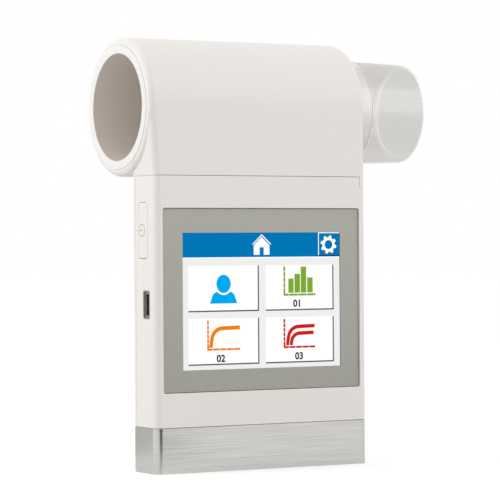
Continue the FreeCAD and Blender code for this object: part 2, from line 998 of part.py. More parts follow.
def cover_screws():
    screws = []
    for x, z, top in screw_places():
        head = rod_y(screw_head_radius, screw_seat, screw_seat + screw_head, x, z)
        shank = rod_y(screw_radius, screw_tip_depth, screw_seat, x, z)
        screws.append(fused([head, shank]))
    return group(screws)


def thread_inserts():
    """Brass inserts set into the bosses of the front cover."""
    inserts = []
    for x, z, top in screw_places():
        insert = rod_y(insert_radius, top - insert_length, top, x, z)
        inserts.append(insert.cut(rod_y(screw_radius + part_clearance, 0, stem_depth, x, z)))
    return group(inserts)


def band_screws():
    """Two screws through the floor of the front cover into the band."""
    screws = []
    floor = band_height + shell_wall
    for x in both_sides(band_screw_x):
        y = deep(band_screw_depth)
        head = rod_z(screw_head_radius, floor, floor + screw_head, x, y)
        shank = rod_z(screw_radius, floor - band_screw_length, floor, x, y)
        screws.append(fused([head, shank]))
    return group(screws)


# Flow head


def flow_sleeve():
    """Fixed sleeve that seals round the flow tube, with two nipples for the pressure hoses."""
    sleeve = turned([
        (inner_left, sleeve_bore),
        (inner_left, sleeve_radius),
        (inner_side - part_clearance, sleeve_radius),
        (inner_side - part_clearance, sleeve_bore),
    ])
    y = deep(hose_depth)
    root = axis_z - math.sqrt(sleeve_bore ** 2 - (axis_y - y) ** 2)
    nipples = []
    holes = [drum(sleeve_bore, inner_left - 1, inner_side + 1)]
    for x in both_sides(tap_offset):
        nipples.append(rod_z(barb_radius, nipple_end(), root + 1, x, y))
        holes.append(rod_z(nipple_bore, nipple_end() - 1, root + 2, x, y))
    return fused([sleeve] + nipples).cut(holes[0].fuse(holes[1:]))


def seal_places():
    return (-tap_offset - seal_spacing, 0, tap_offset + seal_spacing)


def flow_tube():
    """Turned tube: open left flange, pocket for the element, funnel and spigot on the right."""
    half = element_length / 2
    tube = turned([
        (flange_face, bore_radius),
        (flange_face, flange_radius),
        (inner_left, flange_radius),
        (inner_left, barrel_radius),
        (barrel_end, barrel_radius),
        (barrel_end, spigot_radius),
        (spigot_end, spigot_radius),
        (spigot_end, throat_radius),
        (funnel_end, throat_radius),
        (funnel_start, shoulder_radius),
        (half, shoulder_radius),
        (half, pocket_radius),
        (-half - retainer_length - tap_groove_width, pocket_radius),
        (-half - retainer_length - tap_groove_width, bore_radius),
    ])
    cuts = []
    for x in seal_places():
        ring = drum(barrel_radius + 1, *centred(x, seal_groove_width))
        cuts.append(ring.cut(drum(barrel_radius - seal_groove_depth, *centred(x, seal_groove_width))))
    for x in both_sides(tap_offset):
        ring = drum(barrel_radius + 1, *centred(x, tap_groove_width))
        cuts.append(ring.cut(drum(barrel_radius - tap_groove_depth, *centred(x, tap_groove_width))))
        for number in range(tap_hole_count):
            hole = rod_z(tap_hole_radius, axis_z, axis_z + barrel_radius + 1, x, axis_y)
            hole.rotate(vec(x, axis_y, axis_z), X_AXIS, 360 * number / tap_hole_count)
            cuts.append(hole)
    return tube.cut(cuts[0].fuse(cuts[1:]))


def tube_seals():
    """O-rings between the flow tube and its sleeve."""
    seals = []
    middle = barrel_radius - seal_groove_depth + seal_section / 2
    for x in seal_places():
        seals.append(Part.makeTorus(middle, seal_section / 2 - part_clearance / 2, vec(x, axis_y, axis_z), X_AXIS))
    return group(seals)


def channel_outline(y, z, radius):
    """Six-sided outline of one channel."""
    corners = []
    for number in range(6):
        angle = math.radians(60 * number)
        corners.append(vec(-element_length / 2, y + radius * math.cos(angle), z + radius * math.sin(angle)))
    return Part.makePolygon(corners + [corners[0]])


def flow_element():
    """Laminar element: a disc of parallel six-sided channels inside a solid rim."""
    outer = pocket_radius - element_fit
    start = vec(-element_length / 2, axis_y, axis_z)
    wires = [Part.Wire(Part.makeCircle(outer, start, X_AXIS))]
    across = (channel_pitch - channel_wall) / 2
    corner = across / math.cos(math.radians(30))
    column = channel_pitch * math.cos(math.radians(30))
    reach = outer - element_rim - corner
    count = int(outer / column) + 1
    for i in range(-count, count + 1):
        for j in range(-count, count + 1):
            y = i * column
            z = (j + (i % 2) / 2) * channel_pitch
            if math.hypot(y, z) < reach:
                wires.append(channel_outline(axis_y + y, axis_z + z, corner))
    return Part.Face(wires, "Part::FaceMakerBullseye").extrude(vec(element_length, 0, 0))


def element_retainer():
    """Ring that keeps the element against its shoulder."""
    start = -element_length / 2 - retainer_length
    return turned([
        (start, shoulder_radius - retainer_lip),
        (start, pocket_radius - element_fit),
        (start + retainer_length, pocket_radius - element_fit),
        (start + retainer_length, shoulder_radius - retainer_lip),
    ])


def mouthpiece_adapter():
    """Tapered clear collar that plugs over the spigot and takes a mouthpiece in its bore."""
    socket = spigot_radius + adapter_fit
    step = spigot_end + adapter_step_gap
    return turned([
        (adapter_base, socket),
        (adapter_base, adapter_base_radius),
        (side, adapter_base_radius),
        (adapter_mouth - adapter_lip_round, adapter_mouth_radius),
        (adapter_mouth, adapter_mouth_radius - adapter_lip_round),
        (adapter_mouth, mouthpiece_bore),
        (step, mouthpiece_bore),
        (step, socket),
    ])


pieces = {
    "head_shell": head_shell,
    "front_cover": front_cover,
    "rear_cover": rear_cover,
    "base_band": base_band,
    "touch_panel": touch_panel,
    "panel_tape": panel_tape,
    "screen_gasket": screen_gasket,
    "lcd_frame": lcd_frame,
    "lcd_glass": lcd_glass,
    "backlight": backlight,
    "lcd_pads": lcd_pads,
    "display_flex": display_flex,
    "flex_connector": flex_connector,
    "main_board": main_board,
    "board_screws": board_screws,
    "board_chips": board_chips,
    "pressure_sensor": pressure_sensor,
    "sensor_hoses": sensor_hoses,
    "buzzer": buzzer,
    "battery": battery,
    "battery_pad": battery_pad,
    "battery_connector": battery_connector,
    "battery_leads": battery_leads,
    "usb_shell": usb_shell,
    "usb_tongue": usb_tongue,
    "usb_surround": usb_surround,
    "power_button": power_button,
    "switch_body": switch_body,
    "switch_plunger": switch_plunger,
    "cover_screws": cover_screws,
    "thread_inserts": thread_inserts,
    "band_screws": band_screws,
    "flow_sleeve": flow_sleeve,
    "flow_tube": flow_tube,
    "tube_seals": tube_seals,
    "flow_element": flow_element,
    "element_retainer": element_retainer,
    "mouthpiece_adapter": mouthpiece_adapter,
}

os.makedirs("parts", exist_ok=True)
for node, make in pieces.items():
    shape = make()
    shape.exportStep("parts/" + node + ".step")
    print(node, len(shape.Solids), shape.isValid(), round(shape.Volume, 1))
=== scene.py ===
import math

import bmesh
import bpy
from mathutils import Matrix, Vector


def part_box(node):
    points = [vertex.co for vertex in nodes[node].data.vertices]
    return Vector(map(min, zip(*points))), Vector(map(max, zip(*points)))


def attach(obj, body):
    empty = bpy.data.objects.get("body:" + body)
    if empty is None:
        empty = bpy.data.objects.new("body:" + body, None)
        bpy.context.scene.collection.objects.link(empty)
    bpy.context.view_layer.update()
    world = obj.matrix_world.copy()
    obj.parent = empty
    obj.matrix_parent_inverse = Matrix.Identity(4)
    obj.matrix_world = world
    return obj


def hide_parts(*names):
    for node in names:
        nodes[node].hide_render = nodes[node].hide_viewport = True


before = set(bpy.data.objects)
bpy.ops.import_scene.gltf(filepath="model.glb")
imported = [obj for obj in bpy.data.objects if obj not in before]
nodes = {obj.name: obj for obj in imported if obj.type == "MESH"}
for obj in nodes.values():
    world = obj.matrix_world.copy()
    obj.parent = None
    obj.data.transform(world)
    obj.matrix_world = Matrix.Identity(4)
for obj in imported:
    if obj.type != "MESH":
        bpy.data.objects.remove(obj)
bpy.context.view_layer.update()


# The camera and the studio: a level view from the left of the front, a pale floor and a white room.
# The camera's place and lens come from points of the picture, fitted to the part's own sizes.

camera_place = Vector((-0.4058, -0.7073, 0.06975))
camera_yaw = math.radians(29.83)
camera_roll = 0.0068
camera_lens = 182.8
camera_sensor = 36.0
camera_reach = 20.0

camera_data = bpy.data.cameras.new("camera")
camera_data.lens = camera_lens
camera_data.sensor_width = camera_sensor
camera_data.clip_end = camera_reach
camera = bpy.data.objects.new("camera", camera_data)
camera.matrix_world = (
    Matrix.Translation(camera_place)
    @ Matrix.Rotation(-camera_yaw, 4, "Z")
    @ Matrix.Rotation(math.pi / 2, 4, "X")
    @ Matrix.Rotation(-camera_roll, 4, "Z")
)
bpy.context.scene.collection.objects.link(camera)
bpy.context.scene.camera = camera
bpy.context.scene.view_settings.view_transform = "Standard"


def linear(colour):
    """An sRGB hex colour as the linear one that a shader takes."""
    parts = [int(colour[i:i + 2], 16) / 255 for i in (1, 3, 5)]
    return [v / 12.92 if v <= 0.04045 else ((v + 0.055) / 1.055) ** 2.4 for v in parts] + [1.0]


def add_node(tree, kind, inputs=None, ramp=None, **settings):
    """Adds a node to a tree, sets its properties and named inputs, and gives other inputs a link or a value."""
    node = tree.nodes.new(kind)
    for name, value in settings.items():
        if name in node.inputs:
            node.inputs[name].default_value = value
        else:
            setattr(node, name, value)
    for name, source in (inputs or {}).items():
        if isinstance(source, bpy.types.NodeSocket):
            tree.links.new(source, node.inputs[name])
        else:
            node.inputs[name].default_value = source
    if ramp:
        for element, (position, colour) in zip(node.color_ramp.elements, ramp):
            element.position = position
            element.color = linear(colour)
    return node


def seen_surroundings(tree):
    """1 where the surroundings are seen, also through glass and in reflections, and 0 where they only give light."""
    rays = add_node(tree, "ShaderNodeLightPath").outputs
    through = add_node(tree, "ShaderNodeMath", {0: rays["Is Camera Ray"], 1: rays["Is Transmission Ray"]},
                       operation="MAXIMUM")
    seen = add_node(tree, "ShaderNodeMath", {0: through.outputs[0], 1: rays["Is Glossy Ray"]}, operation="MAXIMUM")
    return seen.outputs[0]


room_light = 0.9
room = bpy.data.worlds.new("white_room")
room.use_nodes = True
tree = room.node_tree
tree.nodes.clear()
soft = add_node(tree, "ShaderNodeBackground", Color=linear("#FFFEFD"), Strength=room_light)
white = add_node(tree, "ShaderNodeBackground", Color=linear("#FFFFFF"), Strength=1.0)
mixed = add_node(tree, "ShaderNodeMixShader", {"Fac": seen_surroundings(tree), 1: soft.outputs[0],
                                               2: white.outputs[0]})
add_node(tree, "ShaderNodeOutputWorld", {"Surface": mixed.outputs[0]})
bpy.context.scene.world = room


def add_lamp(name, place, aim, size, power):
    """A square soft lamp turned towards a point."""
    lamp = bpy.data.lights.new(name, "AREA")
    lamp.size = size
    lamp.energy = power
    holder = bpy.data.objects.new(name, lamp)
    holder.location = place
    holder.rotation_euler = (Vector(aim) - Vector(place)).to_track_quat("-Z", "Y").to_euler()
    bpy.context.scene.collection.objects.link(holder)


# A small lamp close to the button's side, and a large one from the right of the front.
middle = (0.0, 0.0, 0.07)
add_lamp("side_lamp", place=(-0.44, 0.2, 0.26), aim=middle, size=0.26, power=0.94)
add_lamp("front_lamp", place=(0.75, -1.2, 0.7), aim=middle, size=1.25, power=5.15)

card_near = 0.065
card_far = 1.1
card_lift = 0.001
card_height = 1.2
card_spread = math.radians(45)
card_steps = 12


def add_card(name, paint, bearing):
    """A card seen only in reflections: a sector of the floor and a tall curved wall, turned about the object."""
    form = bmesh.new()
    bends = ((card_near, card_lift), (card_far, card_lift), (card_far, card_height))
    profile = [form.verts.new((reach, 0, height)) for reach, height in bends]
    edges = [form.edges.new(pair) for pair in zip(profile, profile[1:])]
    bmesh.ops.spin(form, geom=edges, cent=(0, 0, 0), axis=(0, 0, 1), angle=card_spread, steps=card_steps)
    form.transform(Matrix.Rotation(bearing, 4, "Z"))
    mesh = bpy.data.meshes.new(name)
    form.to_mesh(mesh)
    form.free()
    card = bpy.data.objects.new(name, mesh)
    bpy.context.scene.collection.objects.link(card)
    card.visible_camera = False
    card.visible_diffuse = False
    card.visible_transmission = False
    card.visible_shadow = False
    cloth = bpy.data.materials.new(name + "_cloth")
    cloth.use_nodes = True
    cloth.node_tree.nodes["Principled BSDF"].inputs["Base Color"].default_value = linear(paint)
    mesh.materials.append(cloth)


# A dark card behind the camera gives the metal its dark parts, and a pale grey one stands behind on the left.
add_card("dark_card", "#0C0C0C", bearing=math.radians(234))
add_card("grey_card", "#DEDEDC", bearing=math.radians(95))

floor_radius = 6.0
floor_glow = 0.5

floor_form = bmesh.new()
bmesh.ops.create_circle(floor_form, cap_ends=True, segments=64, radius=floor_radius)
floor_mesh = bpy.data.meshes.new("floor")
floor_form.to_mesh(floor_mesh)
floor_form.free()
floor = bpy.data.objects.new("floor", floor_mesh)
bpy.context.scene.collection.objects.link(floor)

# The floor is matt and keeps the shadow. Where it is seen it also glows, which brings it to the room's white.
floor_paint = bpy.data.materials.new("pale_floor")
floor_paint.use_nodes = True
tree = floor_paint.node_tree
tree.nodes.clear()
matt = add_node(tree, "ShaderNodeBsdfDiffuse", Color=linear("#C8C8C6"))
glow = add_node(tree, "ShaderNodeEmission", Color=linear("#FFFFFF"), Strength=floor_glow)
lit = add_node(tree, "ShaderNodeAddShader", {0: matt.outputs[0], 1: glow.outputs[0]})
shown = add_node(tree, "ShaderNodeMixShader", {"Fac": seen_surroundings(tree), 1: matt.outputs[0], 2: lit.outputs[0]})
add_node(tree, "ShaderNodeOutputMaterial", {"Surface": shown.outputs[0]})
floor_mesh.materials.append(floor_paint)


# Housing: head shell, front cover and rear cover, moulded in white ABS and screwed together from behind.
# The mould's fine spark texture gives the satin look, and thin gaps show where the mouldings meet.
# The texture's grain, about 0.1 mm on a real moulding, is drawn at 0.45 mm so that it shows.

housing_grain = 0.00045


def textured(name, low, high, grain, relief, gloss, metallic=0.0, stretch=(1, 1, 1), detail=3.0):
    """A material whose colour, roughness and surface all vary over a grain of a given size."""
    material = bpy.data.materials.new(name)
    material.use_nodes = True
    tree = material.node_tree
    shader = tree.nodes["Principled BSDF"]
    shader.inputs["Metallic"].default_value = metallic
    place = add_node(tree, "ShaderNodeTexCoord")
    spread = add_node(tree, "ShaderNodeMapping", {"Vector": place.outputs["Object"]}, Scale=stretch)
    noise = add_node(tree, "ShaderNodeTexNoise", {"Vector": spread.outputs[0]}, Scale=1 / grain, Detail=detail)
    colour = add_node(tree, "ShaderNodeValToRGB", {"Fac": noise.outputs["Fac"]}, ramp=[(0.3, low), (0.7, high)])
    tree.links.new(colour.outputs["Color"], shader.inputs["Base Color"])
    rough = add_node(tree, "ShaderNodeMapRange", {"Value": noise.outputs["Fac"], "To Min": gloss[0],
                                                  "To Max": gloss[1]})
    tree.links.new(rough.outputs[0], shader.inputs["Roughness"])
    bump = add_node(tree, "ShaderNodeBump", {"Height": noise.outputs["Fac"]}, Strength=0.5, Distance=relief)
    tree.links.new(bump.outputs[0], shader.inputs["Normal"])
    return material


def dress(material, *names):
    """Gives CAD nodes their finish."""
    for name in names:
        for slot in nodes[name].material_slots:
            slot.material = material


moulded_abs = textured("moulded_white_abs", "#E5E2DF", "#E9E6E3", housing_grain, 0.00002, (0.42, 0.52))
dress(moulded_abs, "head_shell", "front_cover", "rear_cover")


# Power button: a long cap of the same ABS, held in the left wall by the flange behind it.
# The sign for on and off is printed on it in a pale grey: a broken ring with a bar in the gap.

sign_y = 0.0005
sign_z = 0.07615
sign_radius = 0.0019
sign_stroke = 0.00042
sign_proud = 0.00003
sign_gap = math.radians(46)
sign_steps = 28
bar_outer = 1.2 * sign_radius
bar_inner = 0.3 * sign_radius
ink_grain = 0.0003

button_abs = textured("moulded_button_abs", "#E6E2E0", "#EAE6E4", housing_grain, 0.000015, (0.36, 0.46))
dress(button_abs, "power_button")
sign_ink = textured("pale_grey_ink", "#BDB7B1", "#C7C1BB", ink_grain, 0.000003, (0.45, 0.55))


def finish_piece(form, name, material, body):
    """Makes an object of a shaped mesh, gives it its finish and lets it ride on a CAD body."""
    bmesh.ops.recalc_face_normals(form, faces=form.faces)
    mesh = bpy.data.meshes.new(name)
    form.to_mesh(mesh)
    form.free()
    piece = bpy.data.objects.new(name, mesh)
    bpy.context.scene.collection.objects.link(piece)
    mesh.materials.append(material)
    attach(piece, body)
    return piece


def thicken(form, faces, amount):
    """Draws faces up into a solid of that thickness."""
    grown = bmesh.ops.extrude_face_region(form, geom=faces)
    raised = [item for item in grown["geom"] if isinstance(item, bmesh.types.BMVert)]
    bmesh.ops.translate(form, verts=raised, vec=(0, 0, amount))


def start_stroke(form, place, heading, width):
    """The edge across the beginning of a stroke, at a place and heading in the plane."""
    across = Vector((-math.sin(heading), math.cos(heading), 0)) * (width / 2)
    ends = [form.verts.new(Vector(place).to_3d() + side * across) for side in (1, -1)]
    return form.edges.new(ends)


def run_stroke(form, edge, length):
    """Carries a stroke's end edge straight on."""
    a, b = (vert.co.copy() for vert in edge.verts)
    along = (b - a).cross(Vector((0, 0, 1))).normalized() * -length
    grown = bmesh.ops.extrude_edge_only(form, edges=[edge])["geom"]
    ends = [item for item in grown if isinstance(item, bmesh.types.BMVert)]
    bmesh.ops.translate(form, verts=ends, vec=along)
    return [item for item in grown if isinstance(item, bmesh.types.BMEdge) and set(item.verts) == set(ends)][0]


def bend_stroke(form, edge, centre, angle, steps):
    """Carries a stroke's end edge round a centre."""
    turned = bmesh.ops.spin(form, geom=[edge], cent=Vector(centre).to_3d(), axis=(0, 0, 1), angle=angle, steps=steps)
    return [item for item in turned["geom_last"] if isinstance(item, bmesh.types.BMEdge)][0]


def bar(form, left, right, low, high):
    """A flat rectangle in the plane."""
    size = Matrix.Diagonal((right - left, high - low, 1, 1))
    place = Matrix.Translation(((left + right) / 2, (low + high) / 2, 0))
    bmesh.ops.create_grid(form, x_segments=1, y_segments=1, size=0.5, matrix=place @ size)


sign = bmesh.new()
start = math.pi + sign_gap / 2
ring_start = Vector((math.cos(start), math.sin(start))) * sign_radius
edge = start_stroke(sign, ring_start, start + math.pi / 2, sign_stroke)
bend_stroke(sign, edge, (0, 0), 2 * math.pi - sign_gap, sign_steps)
bar(sign, -bar_outer, bar_inner, -sign_stroke / 2, sign_stroke / 2)
thicken(sign, sign.faces[:], sign_proud)
sign_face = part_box("power_button")[0][0]
upright = Matrix.Rotation(math.pi / 2, 4, "X")
sideways = Matrix.Rotation(-math.pi / 2, 4, "Z")
sign.transform(Matrix.Translation((sign_face, sign_y, sign_z)) @ sideways @ upright)
finish_piece(sign, "power_sign", sign_ink, "button")


# Base band: an aluminium cap round the foot, brushed along its length and clear anodised.
# The brush leaves long fine lines that run level on the front and on the ends, and the cut top edge is painted
# brighter, a painted highlight.
# The lines, about 0.05 mm apart on real metal, are drawn at 0.12 mm so that they show.

brush_line = 0.00012
brush_stretch = 0.006
highlight_start = 0.0003
highlight_full = 0.00025


def tint_over(material, value, start, end, first, last):
    """Multiplies a material's colour by a tint that changes over a measured value."""
    tree = material.node_tree
    shader = tree.nodes["Principled BSDF"]
    part = add_node(tree, "ShaderNodeMapRange", {"Value": value, "From Min": start, "From Max": end})
    tint = add_node(tree, "ShaderNodeValToRGB", {"Fac": part.outputs[0]}, ramp=[(0.0, first), (1.0, last)])
    colour = shader.inputs["Base Color"].links[0].from_socket
    both = add_node(tree, "ShaderNodeVectorMath", {0: colour, 1: tint.outputs["Color"]}, operation="MULTIPLY")
    tree.links.new(both.outputs[0], shader.inputs["Base Color"])


def object_place(material):
    """The object coordinates of a material as separate values."""
    place = add_node(material.node_tree, "ShaderNodeTexCoord")
    return add_node(material.node_tree, "ShaderNodeSeparateXYZ", {0: place.outputs["Object"]}).outputs


band_metal = textured("brushed_anodised_aluminium", "#C3C2C0", "#DDDCDA", brush_line, 0.000004, (0.14, 0.24),
                      metallic=1.0, stretch=(brush_stretch, brush_stretch, 1.0), detail=6.0)
band_shader = band_metal.node_tree.nodes["Principled BSDF"]
band_shader.inputs["Anisotropic"].default_value = 0.6
band_shader.inputs["Anisotropic Rotation"].default_value = 0.25
band_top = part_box("base_band")[1][2]
# The top edge of the band is painted brighter than the rest: a painted highlight where the edge catches the light.
tint_over(band_metal, object_place(band_metal)["Z"], band_top - highlight_start, band_top - highlight_full,
          "#E8E8E8", "#FFFFFF")
dress(band_metal, "base_band")


# Touch panel: a plate with a satin grey border printed on it and a clear window over the display.
# It is taped into the recess of the front cover, a little below the cover's face.

panel_low, panel_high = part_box("touch_panel")
panel_corner = 0.0005
print_grain = 0.0006
window_left = -0.0288
window_right = 0.0291
window_low = 0.0321
window_high = 0.0753
window_middle = (window_low + window_high) / 2
first_inset = 0.005

printed_border = textured("printed_grey_border", "#A8A79F", "#ADACA4", print_grain, 0.000003, (0.34, 0.4))
# The border is painted lighter towards the top: a painted reflection of the light from above.
tint_over(printed_border, object_place(printed_border)["Z"], panel_low[2], panel_high[2], "#EFEFEF", "#FFFFFF")


def plane_place(vert):
    """Where a vertex lies in the plane, rounded so that it can be compared."""
    return vert.co.xy.to_tuple(5)


# The window is inset evenly first, and its corners are then moved to their own places.
border = bmesh.new()
bar(border, panel_low[0], panel_high[0], panel_low[2], panel_high[2])
outline = {plane_place(vert) for vert in border.verts}
rim = bmesh.ops.inset_region(border, faces=border.faces[:], thickness=first_inset, use_even_offset=True,
                             use_boundary=True)["faces"]
window = [face for face in border.faces if face not in rim][0]
for vert in window.verts:
    vert.co.x = window_left if vert.co.x < 0 else window_right
    vert.co.y = window_low if vert.co.y < window_middle else window_high
bmesh.ops.delete(border, geom=[window], context="FACES_ONLY")
thicken(border, border.faces[:], panel_high[1] - panel_low[1])
corners = [edge for edge in border.edges if all(plane_place(vert) in outline for vert in edge.verts)
           and edge.verts[0].co.z != edge.verts[1].co.z]
bmesh.ops.bevel(border, geom=corners, offset=panel_corner, affect="EDGES", segments=6, profile=0.5, material=-1)
border.transform(Matrix.Translation((0, panel_high[1], 0)) @ upright)
border_piece = finish_piece(border, "panel_border", printed_border, "case")
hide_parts("touch_panel")

# The window bends the light only a little, so the picture stands where the eye sees it through the real plate.
film_depth = 0.00025
film_grain = 0.002
clear_film = textured("clear_coated_film", "#FEFEFD", "#FFFFFF", film_grain, 0.0, (0.0, 0.01))
film_shader = clear_film.node_tree.nodes["Principled BSDF"]
film_shader.inputs["Transmission Weight"].default_value = 1.0
film_shader.inputs["IOR"].default_value = 1.06
film = bmesh.new()
bar(film, window_left, window_right, window_low, window_high)
thicken(film, film.faces[:], film_depth)
film.transform(Matrix.Translation((0, panel_low[1] + film_depth, 0)) @ upright)
finish_piece(film, "panel_window", clear_film, "case")


# Display picture: what the lit display shows, as thin layers close behind the window, where the eye sees it.
# Each colour glows by itself, in rows of fine dots, and white tiles with a dark lower edge stand on a pale ground.
# The rows of dots, 0.18 mm apart on the real display, are drawn about three times as far apart so that they show.

ground_depth = 0.0004
layer_step = 0.00002
dot_pitch = 0.00018
dot_gap_light = 0.985
display_light = 1.03


def lit_colour(name, colour):
    """A colour of the display, slightly darker between its rows of dots."""
    material = bpy.data.materials.new(name)
    material.use_nodes = True
    tree = material.node_tree
    shader = tree.nodes["Principled BSDF"]
    shader.inputs["Base Color"].default_value = linear("#000000")
    shader.inputs["Roughness"].default_value = 0.5
    shader.inputs["Specular IOR Level"].default_value = 0.0
    shader.inputs["Emission Strength"].default_value = display_light
    place = add_node(tree, "ShaderNodeTexCoord")
    rows = add_node(tree, "ShaderNodeTexWave", {"Vector": place.outputs["Object"]}, wave_type="BANDS",
                    bands_direction="Z", Scale=1 / dot_pitch / 10)
    gap = "#" + "".join(f"{int(int(colour[i:i + 2], 16) * dot_gap_light):02X}" for i in (1, 3, 5))
    tint = add_node(tree, "ShaderNodeValToRGB", {"Fac": rows.outputs["Fac"]}, ramp=[(0.0, gap), (0.5, colour)])
    tree.links.new(tint.outputs["Color"], shader.inputs["Emission Color"])
    return material


lit_ground = lit_colour("lit_pale_ground", "#EEEEEE")
lit_white = lit_colour("lit_white", "#FFFFFF")
lit_blue = lit_colour("lit_header_blue", "#0075B6")
lit_shade = lit_colour("lit_dark_edge", "#55565A")
lit_person = lit_colour("lit_sky_blue", "#00A8F0")
lit_green = lit_colour("lit_green", "#7FA832")
lit_orange = lit_colour("lit_orange", "#F57C00")
lit_red = lit_colour("lit_red", "#CC1F1A")
lit_black = lit_colour("lit_black", "#1E1E22")


def show(form, name, material, layer):
    """Stands a flat shape of the picture up on its layer."""
    thicken(form, form.faces[:], layer_step)
    depth = panel_low[1] + ground_depth - layer * layer_step
    form.transform(Matrix.Translation((0, depth, 0)) @ upright)
    finish_piece(form, name, material, "case")


header_low = 0.0675
line_low = 0.06715
ground = bmesh.new()
bar(ground, window_left, window_right, window_low, header_low)
show(ground, "picture_ground", lit_ground, 0)
header = bmesh.new()
bar(header, window_left, window_right, header_low, window_high)
show(header, "picture_header", lit_blue, 0)
line = bmesh.new()
bar(line, window_left, window_right, line_low, header_low)
show(line, "picture_header_line", lit_white, 1)

# Four white tiles, each with a dark edge below and at the right.
tile_columns = ((-0.0267, -0.0011), (0.00135, 0.0268))
tile_rows = ((0.0503, 0.06485), (0.0335, 0.0482))
tile_shade = 0.00044
tiles = bmesh.new()
shades = bmesh.new()
for left, right in tile_columns:
    for low, high in tile_rows:
        bar(tiles, left, right, low, high)
        bar(shades, right - tile_shade, right, low, high)
        bar(shades, left, right - tile_shade, low, low + tile_shade)
show(tiles, "picture_tiles", lit_white, 1)
show(shades, "picture_tile_edges", lit_shade, 2)

# First tile: a person, with a white gap between the head and the shoulders.
person_x = -0.014
person_z = 0.0591
head_width = 0.0052
head_height = 0.0058
collar_gap = 0.00062
shoulders_low = 0.0529
shoulders_high = 0.05665
shoulders_reach = 0.00495
shoulders_top_reach = 0.0036
shoulders_round = 0.0015


def oval(form, x, z, width, height, segments=40):
    """A filled oval in the plane."""
    size = Matrix.Diagonal((width / 2, height / 2, 1, 1))
    place = Matrix.Translation((x, z, 0))
    bmesh.ops.create_circle(form, cap_ends=True, segments=segments, radius=1.0, matrix=place @ size)


bust = bmesh.new()
shoulders = [bust.verts.new(place) for place in (
    (person_x - shoulders_reach, shoulders_low, 0),
    (person_x + shoulders_reach, shoulders_low, 0),
    (person_x + shoulders_top_reach, shoulders_high, 0),
    (person_x - shoulders_top_reach, shoulders_high, 0),
)]
bust.faces.new(shoulders)
bmesh.ops.bevel(bust, geom=shoulders[2:], offset=shoulders_round, affect="VERTICES", segments=6, profile=0.5,
                material=-1)
show(bust, "picture_shoulders", lit_person, 2)
collar = bmesh.new()
oval(collar, person_x, person_z, head_width + 2 * collar_gap, head_height + 2 * collar_gap)
show(collar, "picture_collar", lit_white, 3)
person = bmesh.new()
oval(person, person_x, person_z, head_width, head_height)
show(person, "picture_head", lit_person, 4)

# The other tiles: bars, one rising curve and two rising curves, each on dashed axes.
axis_width = 0.00066
dash_gap = 0.00018


def axes(form, left, low, right, high, dashes):
    """Two dashed axis lines that meet at the lower left."""
    first = left + 3 * axis_width
    bar(form, left, first, low, low + axis_width)
    step = (right - left - 3 * axis_width) / dashes
    for number in range(dashes):
        end = first + (number + 1) * step
        bar(form, end - step + dash_gap, end, low, low + axis_width)
    rise = (high - low - axis_width) / (dashes + 2)
    for number in range(dashes + 2):
        top = low + axis_width + (number + 1) * rise
        bar(form, left, left + axis_width, top - rise + (dash_gap if number else 0), top)


chart_base = 0.05595
chart_columns = (
    (0.0098, 0.01175, 0.0605),
    (0.0121, 0.01415, 0.0620),
    (0.01445, 0.0165, 0.0643),
    (0.01685, 0.0189, 0.0608),
)
chart = bmesh.new()
axes(chart, left=0.0080, low=0.0550, right=0.0199, high=0.0644, dashes=3)
for left, right, high in chart_columns:
    bar(chart, left, right, chart_base, high)
show(chart, "picture_bars", lit_green, 2)

steep = math.radians(81)
level = math.radians(1.8)


def rising_curve(form, x, z, first, radius, last, width):
    """A curve that climbs steeply, bends over and runs on almost level."""
    edge = start_stroke(form, (x, z), steep, width)
    edge = run_stroke(form, edge, first)
    along = Vector((math.cos(steep), math.sin(steep)))
    across = Vector((math.sin(steep), -math.cos(steep)))
    centre = Vector((x, z)) + along * first + across * radius
    edge = bend_stroke(form, edge, centre, level - steep, 12)
    run_stroke(form, edge, last)


flow_curve = bmesh.new()
axes(flow_curve, left=-0.02005, low=0.0381, right=-0.0081, high=0.0476, dashes=4)
rising_curve(flow_curve, -0.01875, 0.0390, first=0.0029, radius=0.0038, last=0.0065, width=0.00125)
show(flow_curve, "picture_curve", lit_orange, 2)
flow_pair = bmesh.new()
axes(flow_pair, left=0.0079, low=0.0382, right=0.0197, high=0.0476, dashes=4)
rising_curve(flow_pair, 0.0093, 0.0391, first=0.0028, radius=0.0038, last=0.0062, width=0.0012)
rising_curve(flow_pair, 0.0107, 0.0391, first=0.0013, radius=0.0030, last=0.0054, width=0.0012)
show(flow_pair, "picture_curves", lit_red, 2)

# The captions are plain numbers.
label_height = 0.0031
label_weight = 0.0001
for text, x, z in (("01", 0.0131, 0.0515), ("02", -0.0151, 0.0345), ("03", 0.0137, 0.0346)):
    letters = bpy.data.curves.new("label_" + text, "FONT")
    letters.body = text
    letters.size = label_height
    letters.offset = label_weight
    letters.align_x = "CENTER"
    holder = bpy.data.objects.new("label_" + text, letters)
    flat = bpy.data.meshes.new_from_object(holder)
    bpy.data.objects.remove(holder)
    label = bmesh.new()
    label.from_mesh(flat)
    bmesh.ops.translate(label, verts=label.verts, vec=(x, z, 0))
    show(label, "picture_label_" + text, lit_black, 2)

